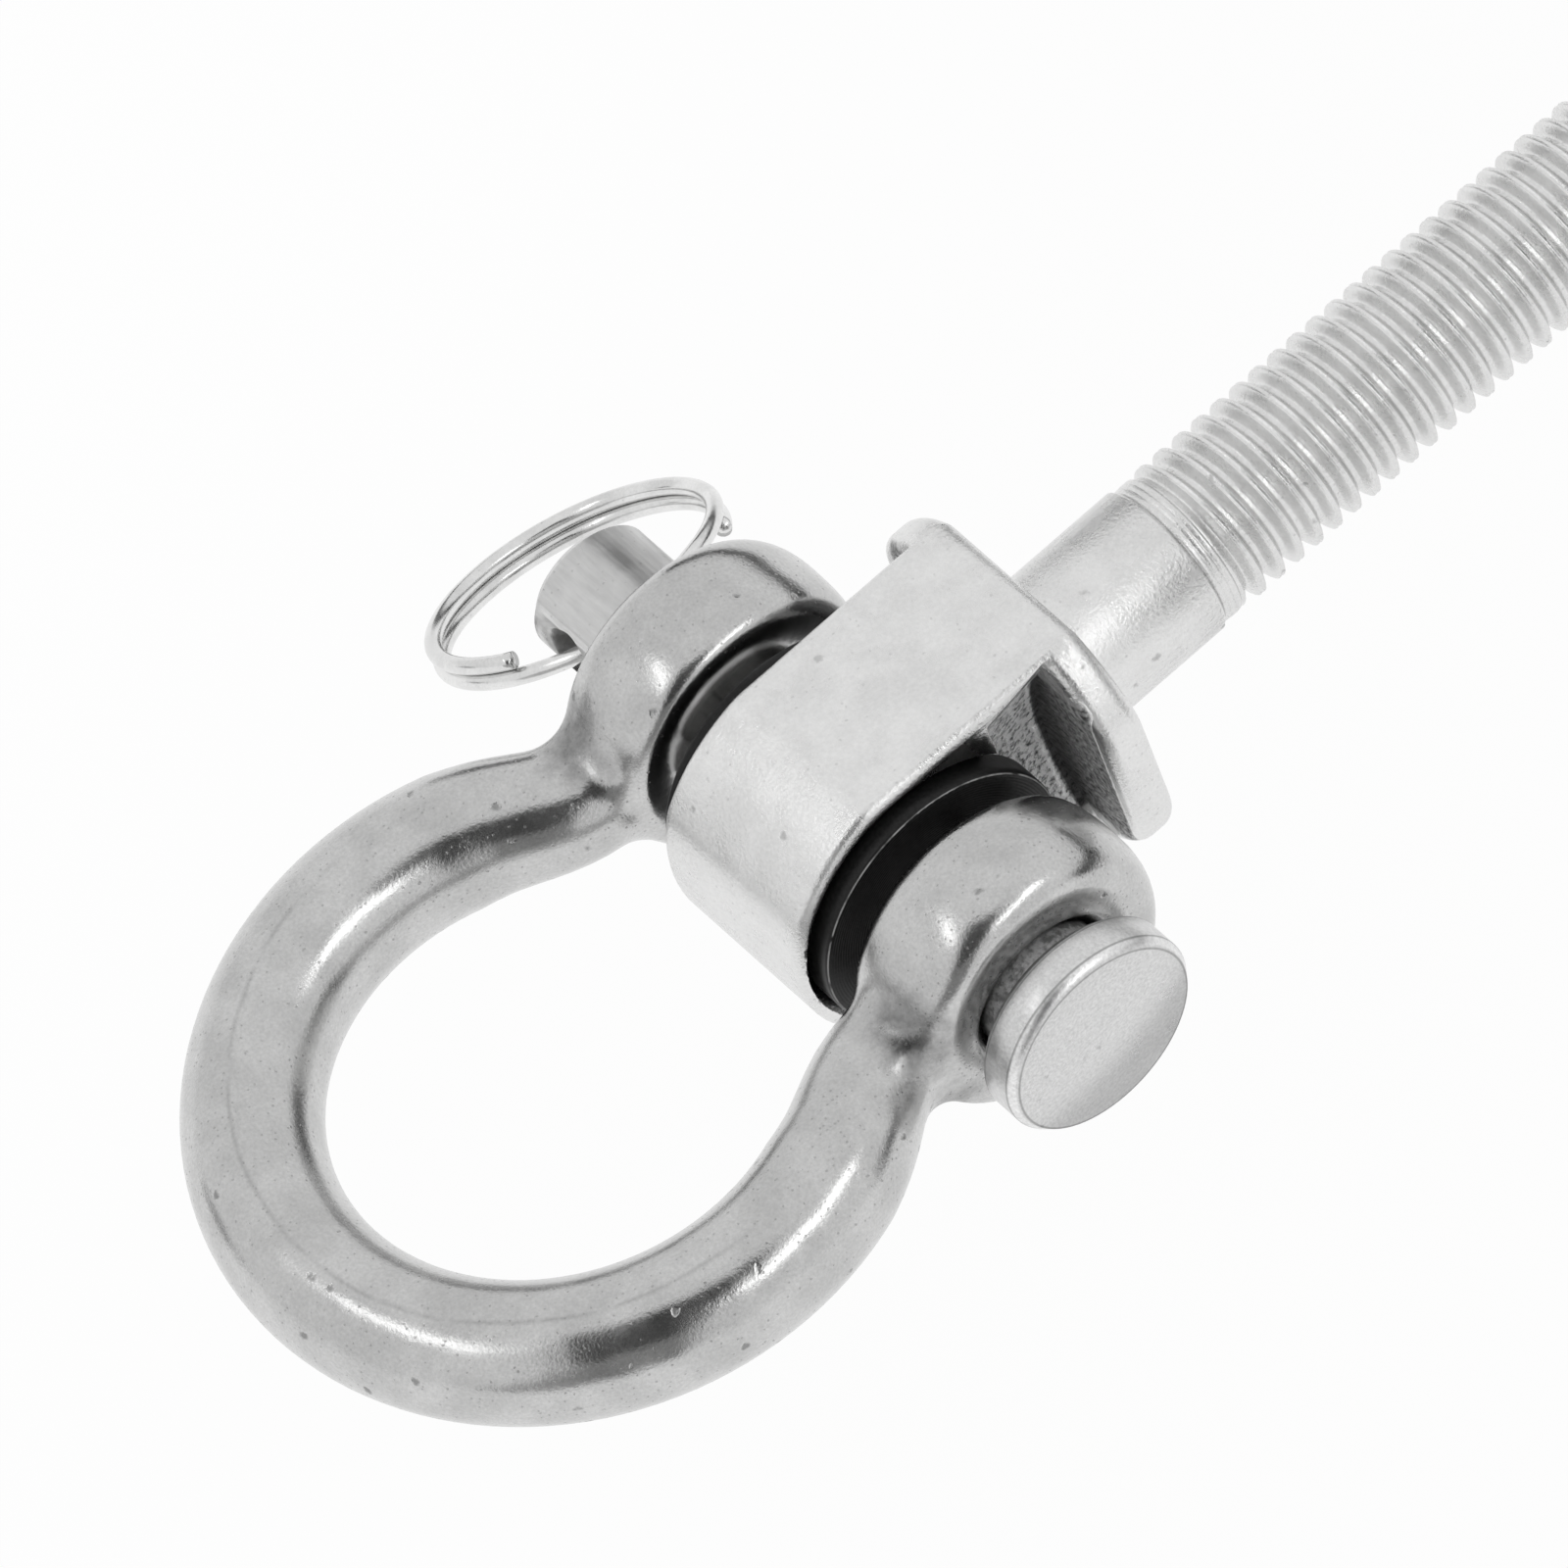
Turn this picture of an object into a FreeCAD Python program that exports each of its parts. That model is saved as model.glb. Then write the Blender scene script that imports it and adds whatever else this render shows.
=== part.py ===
import FreeCAD, Part
import math
import os

from FreeCAD import Vector

# Swivel hanger for a ceiling: a cast body with a threaded shank, two flanged bushes,
# a forged bow shackle that swings on a headed pin, and a split ring that keeps the pin.
# Millimetres. Z is up the shank, X lies along the pin with the head on the plus side,
# and the origin is the middle of the flange's ceiling face.

# Shackle pin, the size that everything round it is fitted to
pin_diameter = 10.0
pin_drop = 17.0
pin_turn_degrees = 8.0

# Hanger body: tongue, flange, neck and shank, cast and machined in one piece
tongue_thickness = 14.4
tongue_depth = 23.2
tongue_edge_radius = 0.85
nose_drop = 11.35
nose_upper_crease_drop = 2.0
nose_lower_crease_drop = 10.1
nose_lower_crease_y = 6.1
nose_cheek_bulge = 0.95
nose_crease_radius = 5.0
flange_end_flat = 1.25
flange_thickness = 3.3
flange_corner_radius = 5.0
flange_top_radius = 1.3
flange_under_radius = 1.0
pocket_web = 9.8
pocket_mouth_depth = 19.6
pocket_height = 5.6
pocket_lean_degrees = 9.0
neck_diameter = 12.0
neck_length = 11.0
neck_edge_chamfer = 0.3
neck_root_radius = 0.8
runout_diameter = 11.3
runout_length = 3.2
thread_diameter = 11.9
shank_length = 100.0
shank_end_chamfer = 1.3
thread_start_chamfer = 0.35

# Bushes: one from each side, flange outside, sunk a little into a spot-faced seat
bush_wall = 1.6
bush_flange_diameter = 20.2
bush_flange_thickness = 2.2
bush_rim_radius = 0.3
bush_end_gap = 0.6
bush_seat_depth = 0.8
bush_seat_clearance = 0.6
bush_press_clearance = 0.02
pin_running_clearance = 0.08

# Bow shackle, forged in one piece
bow_rod_diameter = 9.8
bow_radius = 21.2
bow_taper_degrees = 15.0
arm_bend_radius = 12.0
arm_inset_in_ear = 2.7
arm_offset_in_ear = 0.3
arm_neck_diameter = 6.6
ear_diameter = 21.3
ear_rise = 0.15
ear_thickness = 9.1
ear_gap_to_bush = 2.35
ear_inner_face_diameter = 18.0
ear_outer_face_diameter = 14.7
ear_hole_chamfer = 1.2
ear_arm_fillet = 4.0
shackle_side_play = 0.35

# Pin head, collar and tail
head_diameter = 15.7
head_face_diameter = 14.7
head_thickness = 3.7
head_front_chamfer = 0.7
head_back_chamfer = 0.7
head_stand_off = 1.85
collar_diameter = 12.8
collar_length = 1.3
tail_reach = 8.8
tail_chamfer = 0.6
ring_hole_diameter = 4.0
ring_hole_from_tail = 4.0
ring_hole_chamfer = 0.35

# Split ring: one wire in two close turns, a single strand of it in the pin's cross hole
ring_wire_diameter = 1.24
ring_mean_radius = 10.75
ring_turn_gap = 0.04
ring_swing_degrees = 34.2
ring_slip = 1.7
ring_lean_in_hole = 1.2
ring_step_degrees = 30.0
ring_end_degrees = 56.0

# Sizes that follow from the ones above
pin_z = -pin_drop
pin_radius = pin_diameter / 2
tongue_half = tongue_thickness / 2
depth_half = tongue_depth / 2
bush_bore_radius = pin_radius + pin_running_clearance
bush_sleeve_radius = bush_bore_radius + bush_wall
bore_radius = bush_sleeve_radius + bush_press_clearance
bush_flange_radius = bush_flange_diameter / 2
bush_seat_radius = bush_flange_radius + bush_seat_clearance
bush_seat_x = tongue_half - bush_seat_depth
bush_face_x = bush_seat_x + bush_flange_thickness
ear_inner_x = bush_face_x + ear_gap_to_bush
ear_outer_x = ear_inner_x + ear_thickness
ear_radius = ear_diameter / 2
arm_x = ear_inner_x + ear_thickness / 2 - arm_offset_in_ear
bow_arm_angle = math.acos((arm_x + arm_bend_radius) / (bow_radius + arm_bend_radius))
bow_taper_angle = bow_arm_angle - math.radians(bow_taper_degrees)
arm_upright_z = pin_z - ear_radius + arm_inset_in_ear
bow_z = arm_upright_z - (bow_radius + arm_bend_radius) * math.sin(bow_arm_angle)
ear_hole_radius = pin_radius + pin_running_clearance
head_back_x = ear_outer_x - shackle_side_play + head_stand_off
tail_x = -(ear_outer_x + shackle_side_play + tail_reach)
ring_hole_x = tail_x + ring_hole_from_tail
corner_cover = 0.03
overrun = 1.0
nearly = 0.01

x_axis = Vector(1, 0, 0)
y_axis = Vector(0, 1, 0)
z_axis = Vector(0, 0, 1)
pin_line = Vector(0, 0, pin_z)


def line(start, end):
    return Part.LineSegment(start, end).toShape()


def arc(start, middle, end):
    return Part.Arc(start, middle, end).toShape()


def circle_wire(centre, normal, radius):
    return Part.Wire(Part.Edge(Part.Circle(centre, normal, radius)))


def pin_cylinder(radius, x_start, x_end):
    """A cylinder on the pin's line, from one X to another."""
    return Part.makeCylinder(radius, x_end - x_start, Vector(x_start, 0, pin_z), x_axis)


def turned_on_pin(points):
    """A solid turned about the pin's line, from (X, radius) points round a closed outline."""
    corners = [Vector(x, 0, pin_z + radius) for x, radius in points]
    outline = Part.makePolygon(corners + [corners[0]])
    return Part.Face(outline).revolve(pin_line, x_axis, 360)


def turned_on_shank(points):
    """A solid turned about Z, from (radius, Z) points round a closed outline."""
    corners = [Vector(radius, 0, z) for radius, z in points]
    outline = Part.makePolygon(corners + [corners[0]])
    return Part.Face(outline).revolve(Vector(0, 0, 0), z_axis, 360)


def edges_where(shape, test):
    return [edge for edge in shape.Edges if test(edge.BoundBox)]


def mirrored_in_x(shape):
    return shape.mirror(Vector(0, 0, 0), x_axis)


# Tongue

def nose_outline():
    """The tongue's outline across the pin: flat sides, bulged cheeks and a rounded foot."""
    top = -flange_thickness / 2
    upper_z = pin_z - nose_upper_crease_drop
    lower_z = pin_z - nose_lower_crease_drop
    upper = Vector(-tongue_half, -depth_half, upper_z)
    lower = Vector(-tongue_half, -nose_lower_crease_y, lower_z)
    chord = lower - upper
    outward = Vector(0, chord.z, -chord.y).normalize()
    cheek = (upper + lower) * 0.5 + outward * nose_cheek_bulge
    foot = Vector(-tongue_half, 0, pin_z - nose_drop)

    def other_side(point):
        return Vector(point.x, -point.y, point.z)

    corner = Vector(-tongue_half, -depth_half, top)
    return Part.Wire([
        line(corner, upper),
        arc(upper, cheek, lower),
        arc(lower, foot, other_side(lower)),
        arc(other_side(lower), other_side(cheek), other_side(upper)),
        line(other_side(upper), other_side(corner)),
        line(other_side(corner), corner),
    ])


def make_tongue():
    tongue = Part.Face(nose_outline()).extrude(x_axis * tongue_thickness)

    def is_crease(box):
        runs_along_pin = box.XLength > tongue_thickness / 2
        return runs_along_pin and box.ZMax < pin_z

    tongue = tongue.makeFillet(nose_crease_radius, edges_where(tongue, is_crease))

    def is_side_edge(box):
        lies_in_side = box.XLength < nearly
        return lies_in_side and box.ZMin < -flange_thickness

    return tongue.makeFillet(tongue_edge_radius, edges_where(tongue, is_side_edge))


def make_pocket(side):
    """The scoop above a bush seat, curved in plan, that leans in towards the flange."""
    depth = tongue_half - pocket_web / 2
    half_mouth = pocket_mouth_depth / 2
    radius = (half_mouth ** 2 + depth ** 2) / (2 * depth)
    centre_x = side * (pocket_web / 2 + radius)
    floor_z = -flange_thickness - pocket_height
    lean = math.radians(pocket_lean_degrees)
    length = 2 * (pocket_height + flange_thickness)
    axis = Vector(-side * math.sin(lean), 0, math.cos(lean))
    start = Vector(centre_x, 0, floor_z) - axis * (length / 2)
    scoop = Part.makeCylinder(radius, length, start, axis)
    reach = tongue_half + overrun
    space = Part.makeBox(2 * reach, 2 * reach + tongue_depth, pocket_height)
    space.translate(Vector(-reach, -reach - depth_half, floor_z))
    return scoop.common(space)


# Flange

def make_flange():
    """A disc that takes in the tongue's rounded corners, flattened on four sides."""
    corner_x = tongue_half - tongue_edge_radius
    corner_y = depth_half - tongue_edge_radius
    radius = math.hypot(corner_x, corner_y) + tongue_edge_radius + corner_cover
    half_length = radius - flange_end_flat
    disc = Part.makeCylinder(radius, flange_thickness, Vector(0, 0, -flange_thickness))
    block = Part.makeBox(
        2 * half_length, tongue_depth, flange_thickness,
        Vector(-half_length, -depth_half, -flange_thickness))
    flange = disc.common(block)

    def is_end_corner(box):
        upright = box.ZLength > flange_thickness / 2 and box.XLength < nearly
        return upright and abs(box.XMax) > half_length - nearly

    flange = flange.makeFillet(flange_corner_radius, edges_where(flange, is_end_corner))
    flange = flange.makeFillet(flange_top_radius, edges_where(flange, lambda box: box.ZMin > -nearly))

    def is_under_edge(box):
        return box.ZMax < -flange_thickness + nearly

    return flange.makeFillet(flange_under_radius, edges_where(flange, is_under_edge))


# Neck and shank

def make_shank():
    """Neck, thread run-out and shank. The shank keeps the thread's outer diameter."""
    neck_radius = neck_diameter / 2
    runout_radius = runout_diameter / 2
    thread_radius = thread_diameter / 2
    runout_top = neck_length + runout_length
    return turned_on_shank([
        (0, -flange_thickness / 2),
        (neck_radius, -flange_thickness / 2),
        (neck_radius, neck_length - neck_edge_chamfer),
        (neck_radius - neck_edge_chamfer, neck_length),
        (runout_radius, neck_length),
        (runout_radius, runout_top),
        (thread_radius, runout_top + thread_start_chamfer),
        (thread_radius, shank_length - shank_end_chamfer),
        (thread_radius - shank_end_chamfer, shank_length),
        (0, shank_length),
    ])


def make_hanger_body():
    tongue = make_tongue()
    for side in (-1, 1):
        tongue = tongue.cut(make_pocket(side))
    body = tongue.fuse(make_flange()).fuse(make_shank()).removeSplitter()

    def is_neck_root(box):
        lies_on_face = abs(box.ZMin) < nearly and abs(box.ZMax) < nearly
        return lies_on_face and abs(box.XLength - neck_diameter) < nearly

    body = body.makeFillet(neck_root_radius, edges_where(body, is_neck_root))
    body = body.cut(pin_cylinder(bore_radius, -tongue_half - overrun, tongue_half + overrun))
    seat = pin_cylinder(bush_seat_radius, bush_seat_x, tongue_half + overrun)
    body = body.cut(seat)
    return body.cut(mirrored_in_x(seat))


# Bushes

def make_bush():
    """The bush on the head's side. Its sleeve stops short of the tongue's middle."""
    bush = turned_on_pin([
        (bush_end_gap / 2, bush_bore_radius),
        (bush_end_gap / 2, bush_sleeve_radius),
        (bush_seat_x, bush_sleeve_radius),
        (bush_seat_x, bush_flange_radius),
        (bush_face_x, bush_flange_radius),
        (bush_face_x, bush_bore_radius),
    ])

    def is_rim(box):
        flat = box.XLength < nearly and box.XMin > bush_face_x - nearly
        return flat and box.YLength > 2 * bush_flange_radius - nearly

    return bush.makeFillet(bush_rim_radius, edges_where(bush, is_rim))


# Bow shackle

def make_ear():
    """A thick rounded disc on the pin's line, flat where it meets the bush and the head."""

    ear_z = pin_z + ear_rise

    def at(x, radius):
        return Vector(x, 0, ear_z + radius)

    inner_radius = ear_inner_face_diameter / 2
    outer_radius = ear_outer_face_diameter / 2
    points = [at(ear_inner_x, inner_radius)]
    # shares of the thickness, and of the rise from the face's edge to the full radius
    for depth, rise in ((0.07, 0.60), (0.24, 0.92), (0.48, 1.0)):
        radius = inner_radius + rise * (ear_radius - inner_radius)
        points.append(at(ear_inner_x + depth * ear_thickness, radius))
    for depth, rise in ((0.70, 0.97), (0.90, 0.76)):
        radius = outer_radius + rise * (ear_radius - outer_radius)
        points.append(at(ear_inner_x + depth * ear_thickness, radius))
    points.append(at(ear_outer_x, outer_radius))
    crown = Part.BSplineCurve()
    crown.interpolate(points)
    outline = Part.Wire([
        line(at(ear_inner_x, 0), at(ear_inner_x, inner_radius)),
        crown.toShape(),
        line(at(ear_outer_x, outer_radius), at(ear_outer_x, 0)),
        line(at(ear_outer_x, 0), at(ear_inner_x, 0)),
    ])
    return Part.Face(outline).revolve(Vector(0, 0, ear_z), x_axis, 360)


def bow_point(angle):
    """A point on the bow's centre line, by its angle above the bow's widest line."""
    return Vector(bow_radius * math.cos(angle), 0, bow_z + bow_radius * math.sin(angle))


def bow_end():
    """Where the full round bar ends and starts to taper, and the way it heads there."""
    angle = bow_taper_angle
    return bow_point(angle), Vector(-math.sin(angle), 0, math.cos(angle))


def make_arm():
    """The arm up into the ear: it follows the bow, bends upright and tapers to its neck."""
    start, heading = bow_end()
    angle = bow_arm_angle
    bend_start = bow_point(angle)
    bow_middle = bow_point((angle + bow_taper_angle) / 2)
    bend_centre = bend_start + Vector(math.cos(angle), 0, math.sin(angle)) * arm_bend_radius

    def on_bend(turn):
        return bend_centre - Vector(math.cos(turn), 0, math.sin(turn)) * arm_bend_radius

    upright = on_bend(0)
    finish = Vector(upright.x, 0, pin_z - overrun)
    curve = Part.BSplineCurve()
    curve.interpolate(
        Points=[start, bow_middle, bend_start, on_bend(angle / 2), upright, finish],
        InitialTangent=heading, FinalTangent=z_axis)
    sections = [
        circle_wire(start, heading, bow_rod_diameter / 2),
        circle_wire(finish, z_axis, arm_neck_diameter / 2),
    ]
    return Part.Wire([curve.toShape()]).makePipeShell(sections, True, False)


def make_bow():
    """The round bar of the bow, from one arm under the load to the other."""
    start, heading = bow_end()
    section = Part.Face(circle_wire(start, heading, bow_rod_diameter / 2))
    return section.revolve(Vector(0, 0, bow_z), y_axis, 180 + 2 * math.degrees(bow_taper_angle))


def make_ear_hole():
    """The hole through one ear, with the chamfer at its outer mouth."""
    mouth_radius = ear_hole_radius + ear_hole_chamfer
    return turned_on_pin([
        (ear_inner_x - overrun, 0),
        (ear_inner_x - overrun, ear_hole_radius),
        (ear_outer_x - ear_hole_chamfer, ear_hole_radius),
        (ear_outer_x, mouth_radius),
        (ear_outer_x + overrun, mouth_radius),
        (ear_outer_x + overrun, 0),
    ])


def make_bow_shackle():
    half = make_arm().fuse(make_ear())
    shackle = make_bow().fuse([half, mirrored_in_x(half)]).removeSplitter()
    ear_foot_z = pin_z - ear_radius - overrun

    def is_junction(box):
        below_hole = box.ZMax < pin_z - ear_radius / 2 and box.ZMin > ear_foot_z
        wide = box.YLength > arm_neck_diameter / 2
        within_ear = min(abs(box.XMin), abs(box.XMax)) > ear_inner_x
        return below_hole and wide and within_ear

    shackle = shackle.makeFillet(ear_arm_fillet, edges_where(shackle, is_junction))
    hole = make_ear_hole()
    shackle = shackle.cut(hole).cut(mirrored_in_x(hole))
    shackle.translate(Vector(-shackle_side_play, 0, 0))
    return shackle


# Shackle pin

def cross_hole_line():
    """The direction of the ring's hole through the pin's tail."""
    turn = math.radians(pin_turn_degrees)
    return Vector(0, math.sin(turn), math.cos(turn))


def make_shackle_pin():
    head_radius = head_diameter / 2
    head_front_x = head_back_x + head_thickness
    collar_radius = collar_diameter / 2
    pin = turned_on_pin([
        (tail_x, 0),
        (tail_x, pin_radius - tail_chamfer),
        (tail_x + tail_chamfer, pin_radius),
        (head_back_x - collar_length, pin_radius),
        (head_back_x, collar_radius),
        (head_back_x, head_radius - head_back_chamfer),
        (head_back_x + head_back_chamfer, head_radius),
        (head_front_x - head_front_chamfer, head_radius),
        (head_front_x, head_face_diameter / 2),
        (head_front_x, 0),
    ])
    direction = cross_hole_line()
    reach = pin_diameter + 2 * overrun
    start = Vector(ring_hole_x, 0, pin_z) - direction * (reach / 2)
    pin = pin.cut(Part.makeCylinder(ring_hole_diameter / 2, reach, start, direction))
    for side in (-1, 1):
        mouth = Vector(ring_hole_x, 0, pin_z) + direction * (side * pin_radius)
        foot = mouth - direction * (side * ring_hole_chamfer)
        narrow = ring_hole_diameter / 2
        wide = narrow + 2 * ring_hole_chamfer
        pin = pin.cut(Part.makeCone(narrow, wide, 2 * ring_hole_chamfer, foot, direction * side))
    return pin


# Split ring

def ring_axes():
    """Centre of the ring, its outward, upright and sideways directions."""
    upright = cross_hole_line()
    swing = math.radians(ring_swing_degrees)
    away = Vector(-1, 0, 0) * math.cos(swing) + upright.cross(x_axis) * math.sin(swing)
    sideways = upright.cross(away)
    hole_centre = Vector(ring_hole_x, 0, pin_z)
    centre = hole_centre + away * (ring_mean_radius - ring_lean_in_hole) + upright * ring_slip
    return centre, away, upright, sideways


def ring_point(degrees, offset):
    """A point of the wire's middle: degrees round the ring from the strand in the hole."""
    centre, away, upright, sideways = ring_axes()
    angle = math.radians(degrees)
    radial = upright * math.sin(angle) - away * math.cos(angle)
    return centre + radial * ring_mean_radius + sideways * offset


def ring_heading(degrees):
    """The way the wire runs at that angle."""
    centre, away, upright, sideways = ring_axes()
    angle = math.radians(degrees)
    return upright * math.cos(angle) + away * math.sin(angle)


def make_ring_turn(side):
    """One flat turn of the wire, from the step at the hole to its cut end."""
    centre, away, upright, sideways = ring_axes()
    offset = side * (ring_wire_diameter + ring_turn_gap) / 2
    first = side * ring_step_degrees
    sweep = 360 - ring_end_degrees - ring_step_degrees
    start = ring_point(first, offset)
    section = Part.Face(circle_wire(start, ring_heading(first), ring_wire_diameter / 2))
    return section.revolve(centre, sideways * side, sweep)


def make_ring_step():
    """The strand in the hole, which steps from one turn across to the other."""
    half_pitch = (ring_wire_diameter + ring_turn_gap) / 2
    points = []
    for share in (-1, -0.5, 0, 0.5, 1):
        offset = half_pitch * math.sin(share * math.pi / 2)
        points.append(ring_point(share * ring_step_degrees, offset))
    start_heading = ring_heading(-ring_step_degrees)
    curve = Part.BSplineCurve()
    curve.interpolate(
        Points=points, InitialTangent=start_heading, FinalTangent=ring_heading(ring_step_degrees))
    profile = circle_wire(points[0], start_heading, ring_wire_diameter / 2)
    return Part.Wire([curve.toShape()]).makePipeShell([profile], True, True)


def make_split_ring():
    return make_ring_step().fuse([make_ring_turn(-1), make_ring_turn(1)]).removeSplitter()


def main():
    os.makedirs("parts", exist_ok=True)
    bush = make_bush()
    pieces = {
        "hanger_body": make_hanger_body(),
        "head_side_bush": bush,
        "ring_side_bush": mirrored_in_x(bush),
        "bow_shackle": make_bow_shackle(),
        "shackle_pin": make_shackle_pin(),
        "split_ring": make_split_ring(),
    }
    for name, shape in pieces.items():
        solid = shape.Solids[0]
        solid.exportStep(os.path.join("parts", name + ".step"))
        print(name, "solids", len(shape.Solids), "valid", solid.isValid(),
              "volume", round(solid.Volume, 1))


main()
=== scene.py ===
import math

import bmesh
import bpy
from mathutils import Matrix, Vector


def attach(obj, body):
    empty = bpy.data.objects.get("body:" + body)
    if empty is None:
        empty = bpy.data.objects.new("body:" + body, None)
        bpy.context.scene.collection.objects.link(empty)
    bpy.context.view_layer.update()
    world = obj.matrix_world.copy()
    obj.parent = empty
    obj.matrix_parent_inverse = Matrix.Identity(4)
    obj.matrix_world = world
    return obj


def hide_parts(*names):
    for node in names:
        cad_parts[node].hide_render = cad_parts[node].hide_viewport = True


# Ceiling hanger with a bow shackle. Metres, Z up the shank, X along the pin.

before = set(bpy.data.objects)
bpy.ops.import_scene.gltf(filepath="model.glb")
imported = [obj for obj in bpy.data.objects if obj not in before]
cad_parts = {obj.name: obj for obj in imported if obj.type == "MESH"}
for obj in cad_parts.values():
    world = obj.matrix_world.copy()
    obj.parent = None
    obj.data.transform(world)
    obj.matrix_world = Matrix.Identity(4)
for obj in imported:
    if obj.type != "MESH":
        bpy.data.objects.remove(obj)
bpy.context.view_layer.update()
scene = bpy.context.scene
mm = 0.001
pinHeight = -17 * mm    # the pin's line runs along X below the ceiling
print("frame loaded:", ", ".join(sorted(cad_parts)))


# Camera

cameraSetup = {
    "target": (-4.85 * mm, -2.56 * mm, -19.09 * mm),
    "azimuth": 32.491,      # degrees, 0 looks along +Y
    "elevation": -12.091,
    "roll": -49.091,
    "distance": 1.7538,
    "lens": 599.6,
    "sensor": 36.0,
}


def makeCamera(setup):
    azimuth = math.radians(setup["azimuth"])
    elevation = math.radians(setup["elevation"])
    roll = math.radians(setup["roll"])
    back = Vector((
        math.sin(azimuth) * math.cos(elevation),
        -math.cos(azimuth) * math.cos(elevation),
        math.sin(elevation)))
    level = Vector((0, 0, 1)).cross(back).normalized()
    upright = back.cross(level)
    up = upright * math.cos(roll) + level * math.sin(roll)
    right = up.cross(back)
    data = bpy.data.cameras.new("camera")
    data.lens = setup["lens"]
    data.sensor_width = setup["sensor"]
    data.clip_start = 0.05
    data.clip_end = 20
    camera = bpy.data.objects.new("camera", data)
    place = Matrix((right, up, back)).transposed().to_4x4()
    place.translation = Vector(setup["target"]) + back * setup["distance"]
    camera.matrix_world = place
    scene.collection.objects.link(camera)
    scene.camera = camera
    return camera


makeCamera(cameraSetup)
print("camera placed")


# Node helpers

def newMaterial(name):
    material = bpy.data.materials.new(name)
    material.use_nodes = True
    nodes = material.node_tree.nodes
    nodes.clear()
    return material, material.node_tree, nodes.new("ShaderNodeOutputMaterial")


def fillInput(tree, socket, value):
    if isinstance(value, bpy.types.NodeSocket):
        tree.links.new(value, socket)
    else:
        socket.default_value = value


def addNode(tree, kind, inputs=None, **settings):
    node = tree.nodes.new(kind)
    for name, value in settings.items():
        setattr(node, name, value)
    for key, value in (inputs or {}).items():
        fillInput(tree, node.inputs[key], value)
    return node


def mathNode(tree, operation, first, second=0.0, third=0.0, clamp=False):
    node = addNode(
        tree, "ShaderNodeMath", {0: first, 1: second, 2: third},
        operation=operation, use_clamp=clamp)
    return node.outputs[0]


def times(tree, first, *others):
    for other in others:
        first = mathNode(tree, "MULTIPLY", first, other)
    return first


def gapTo(tree, value, centre):
    return mathNode(tree, "ABSOLUTE", mathNode(tree, "SUBTRACT", value, centre))


def remap(tree, value, fromMin, fromMax, toMin=0.0, toMax=1.0, smooth=False):
    node = addNode(tree, "ShaderNodeMapRange", {
        "Value": value, "From Min": fromMin, "From Max": fromMax, "To Min": toMin, "To Max": toMax})
    if smooth:
        node.interpolation_type = "SMOOTHSTEP"
    return node.outputs[0]


def objectPoint(tree):
    return addNode(tree, "ShaderNodeTexCoord").outputs["Object"]


def splitAxes(tree, point):
    return addNode(tree, "ShaderNodeSeparateXYZ", {0: point}).outputs


def moved(tree, point, location, scale=(1, 1, 1)):
    node = addNode(tree, "ShaderNodeMapping", {
        "Vector": point, "Location": location, "Scale": scale})
    return node.outputs[0]


def vectorNode(tree, operation, *inputs):
    node = addNode(tree, "ShaderNodeVectorMath", dict(enumerate(inputs)), operation=operation)
    return node.outputs["Value" if operation in ("LENGTH", "DISTANCE") else "Vector"]


def pinRadius(tree, point):
    # distance from the pin's line, which runs along X
    return vectorNode(tree, "LENGTH", moved(tree, point, (0, 0, -pinHeight), (0, 1, 1)))


def sheetPolar(tree, point, x, z):
    # the axes from a centre in the XZ plane, and the distance from it in that plane
    axes = splitAxes(tree, moved(tree, point, (-x, 0, -z)))
    flat = addNode(tree, "ShaderNodeCombineXYZ", {0: axes[0], 1: axes[2]}).outputs[0]
    return axes, vectorNode(tree, "LENGTH", flat)


def noise(tree, point, scale, detail=3.0, roughness=0.5, stretch=None):
    if stretch:
        point = moved(tree, point, (0, 0, 0), stretch)
    node = addNode(tree, "ShaderNodeTexNoise", {
        "Vector": point, "Scale": scale, "Detail": detail, "Roughness": roughness})
    return node.outputs["Fac"]


def mixColor(tree, factor, first, second, blend="MIX"):
    node = addNode(tree, "ShaderNodeMix", data_type="RGBA", blend_type=blend)
    for key, value in ((0, factor), (6, first), (7, second)):
        fillInput(tree, node.inputs[key], value)
    return node.outputs[2]


def mixShader(tree, factor, first, second):
    return addNode(tree, "ShaderNodeMixShader", {
        0: factor, 1: first.outputs[0], 2: second.outputs[0]})


def grey(value):
    return (value, value, value * 0.995, 1.0)


def greyNode(tree, value):
    return addNode(tree, "ShaderNodeCombineColor", {0: value, 1: value, 2: value}).outputs[0]


def bumpNode(tree, height):
    # heights are in metres, so strength and distance stay at 1
    node = addNode(tree, "ShaderNodeBump", {"Height": height, "Strength": 1.0, "Distance": 1.0})
    return node.outputs[0]


# Metal that has been tumbled: satin patches, fine grain, scattered pits

def pitField(tree, point, cell, size, share):
    # 1 in the middle of a small ragged pit, in only a share of the cells
    warp = addNode(tree, "ShaderNodeTexNoise", {
        "Vector": point, "Scale": 2.6 / cell, "Detail": 2.0}).outputs["Color"]
    ragged = vectorNode(tree, "MULTIPLY_ADD", warp, (cell * 0.45,) * 3, point)
    cells = addNode(tree, "ShaderNodeTexVoronoi", {"Vector": ragged, "Scale": 1 / cell})
    lot = addNode(tree, "ShaderNodeSeparateColor", {"Color": cells.outputs["Color"]}).outputs[0]
    hollow = remap(tree, cells.outputs["Distance"], size, size * 0.35, smooth=True)
    return times(tree, hollow, mathNode(tree, "LESS_THAN", lot, share))


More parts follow.
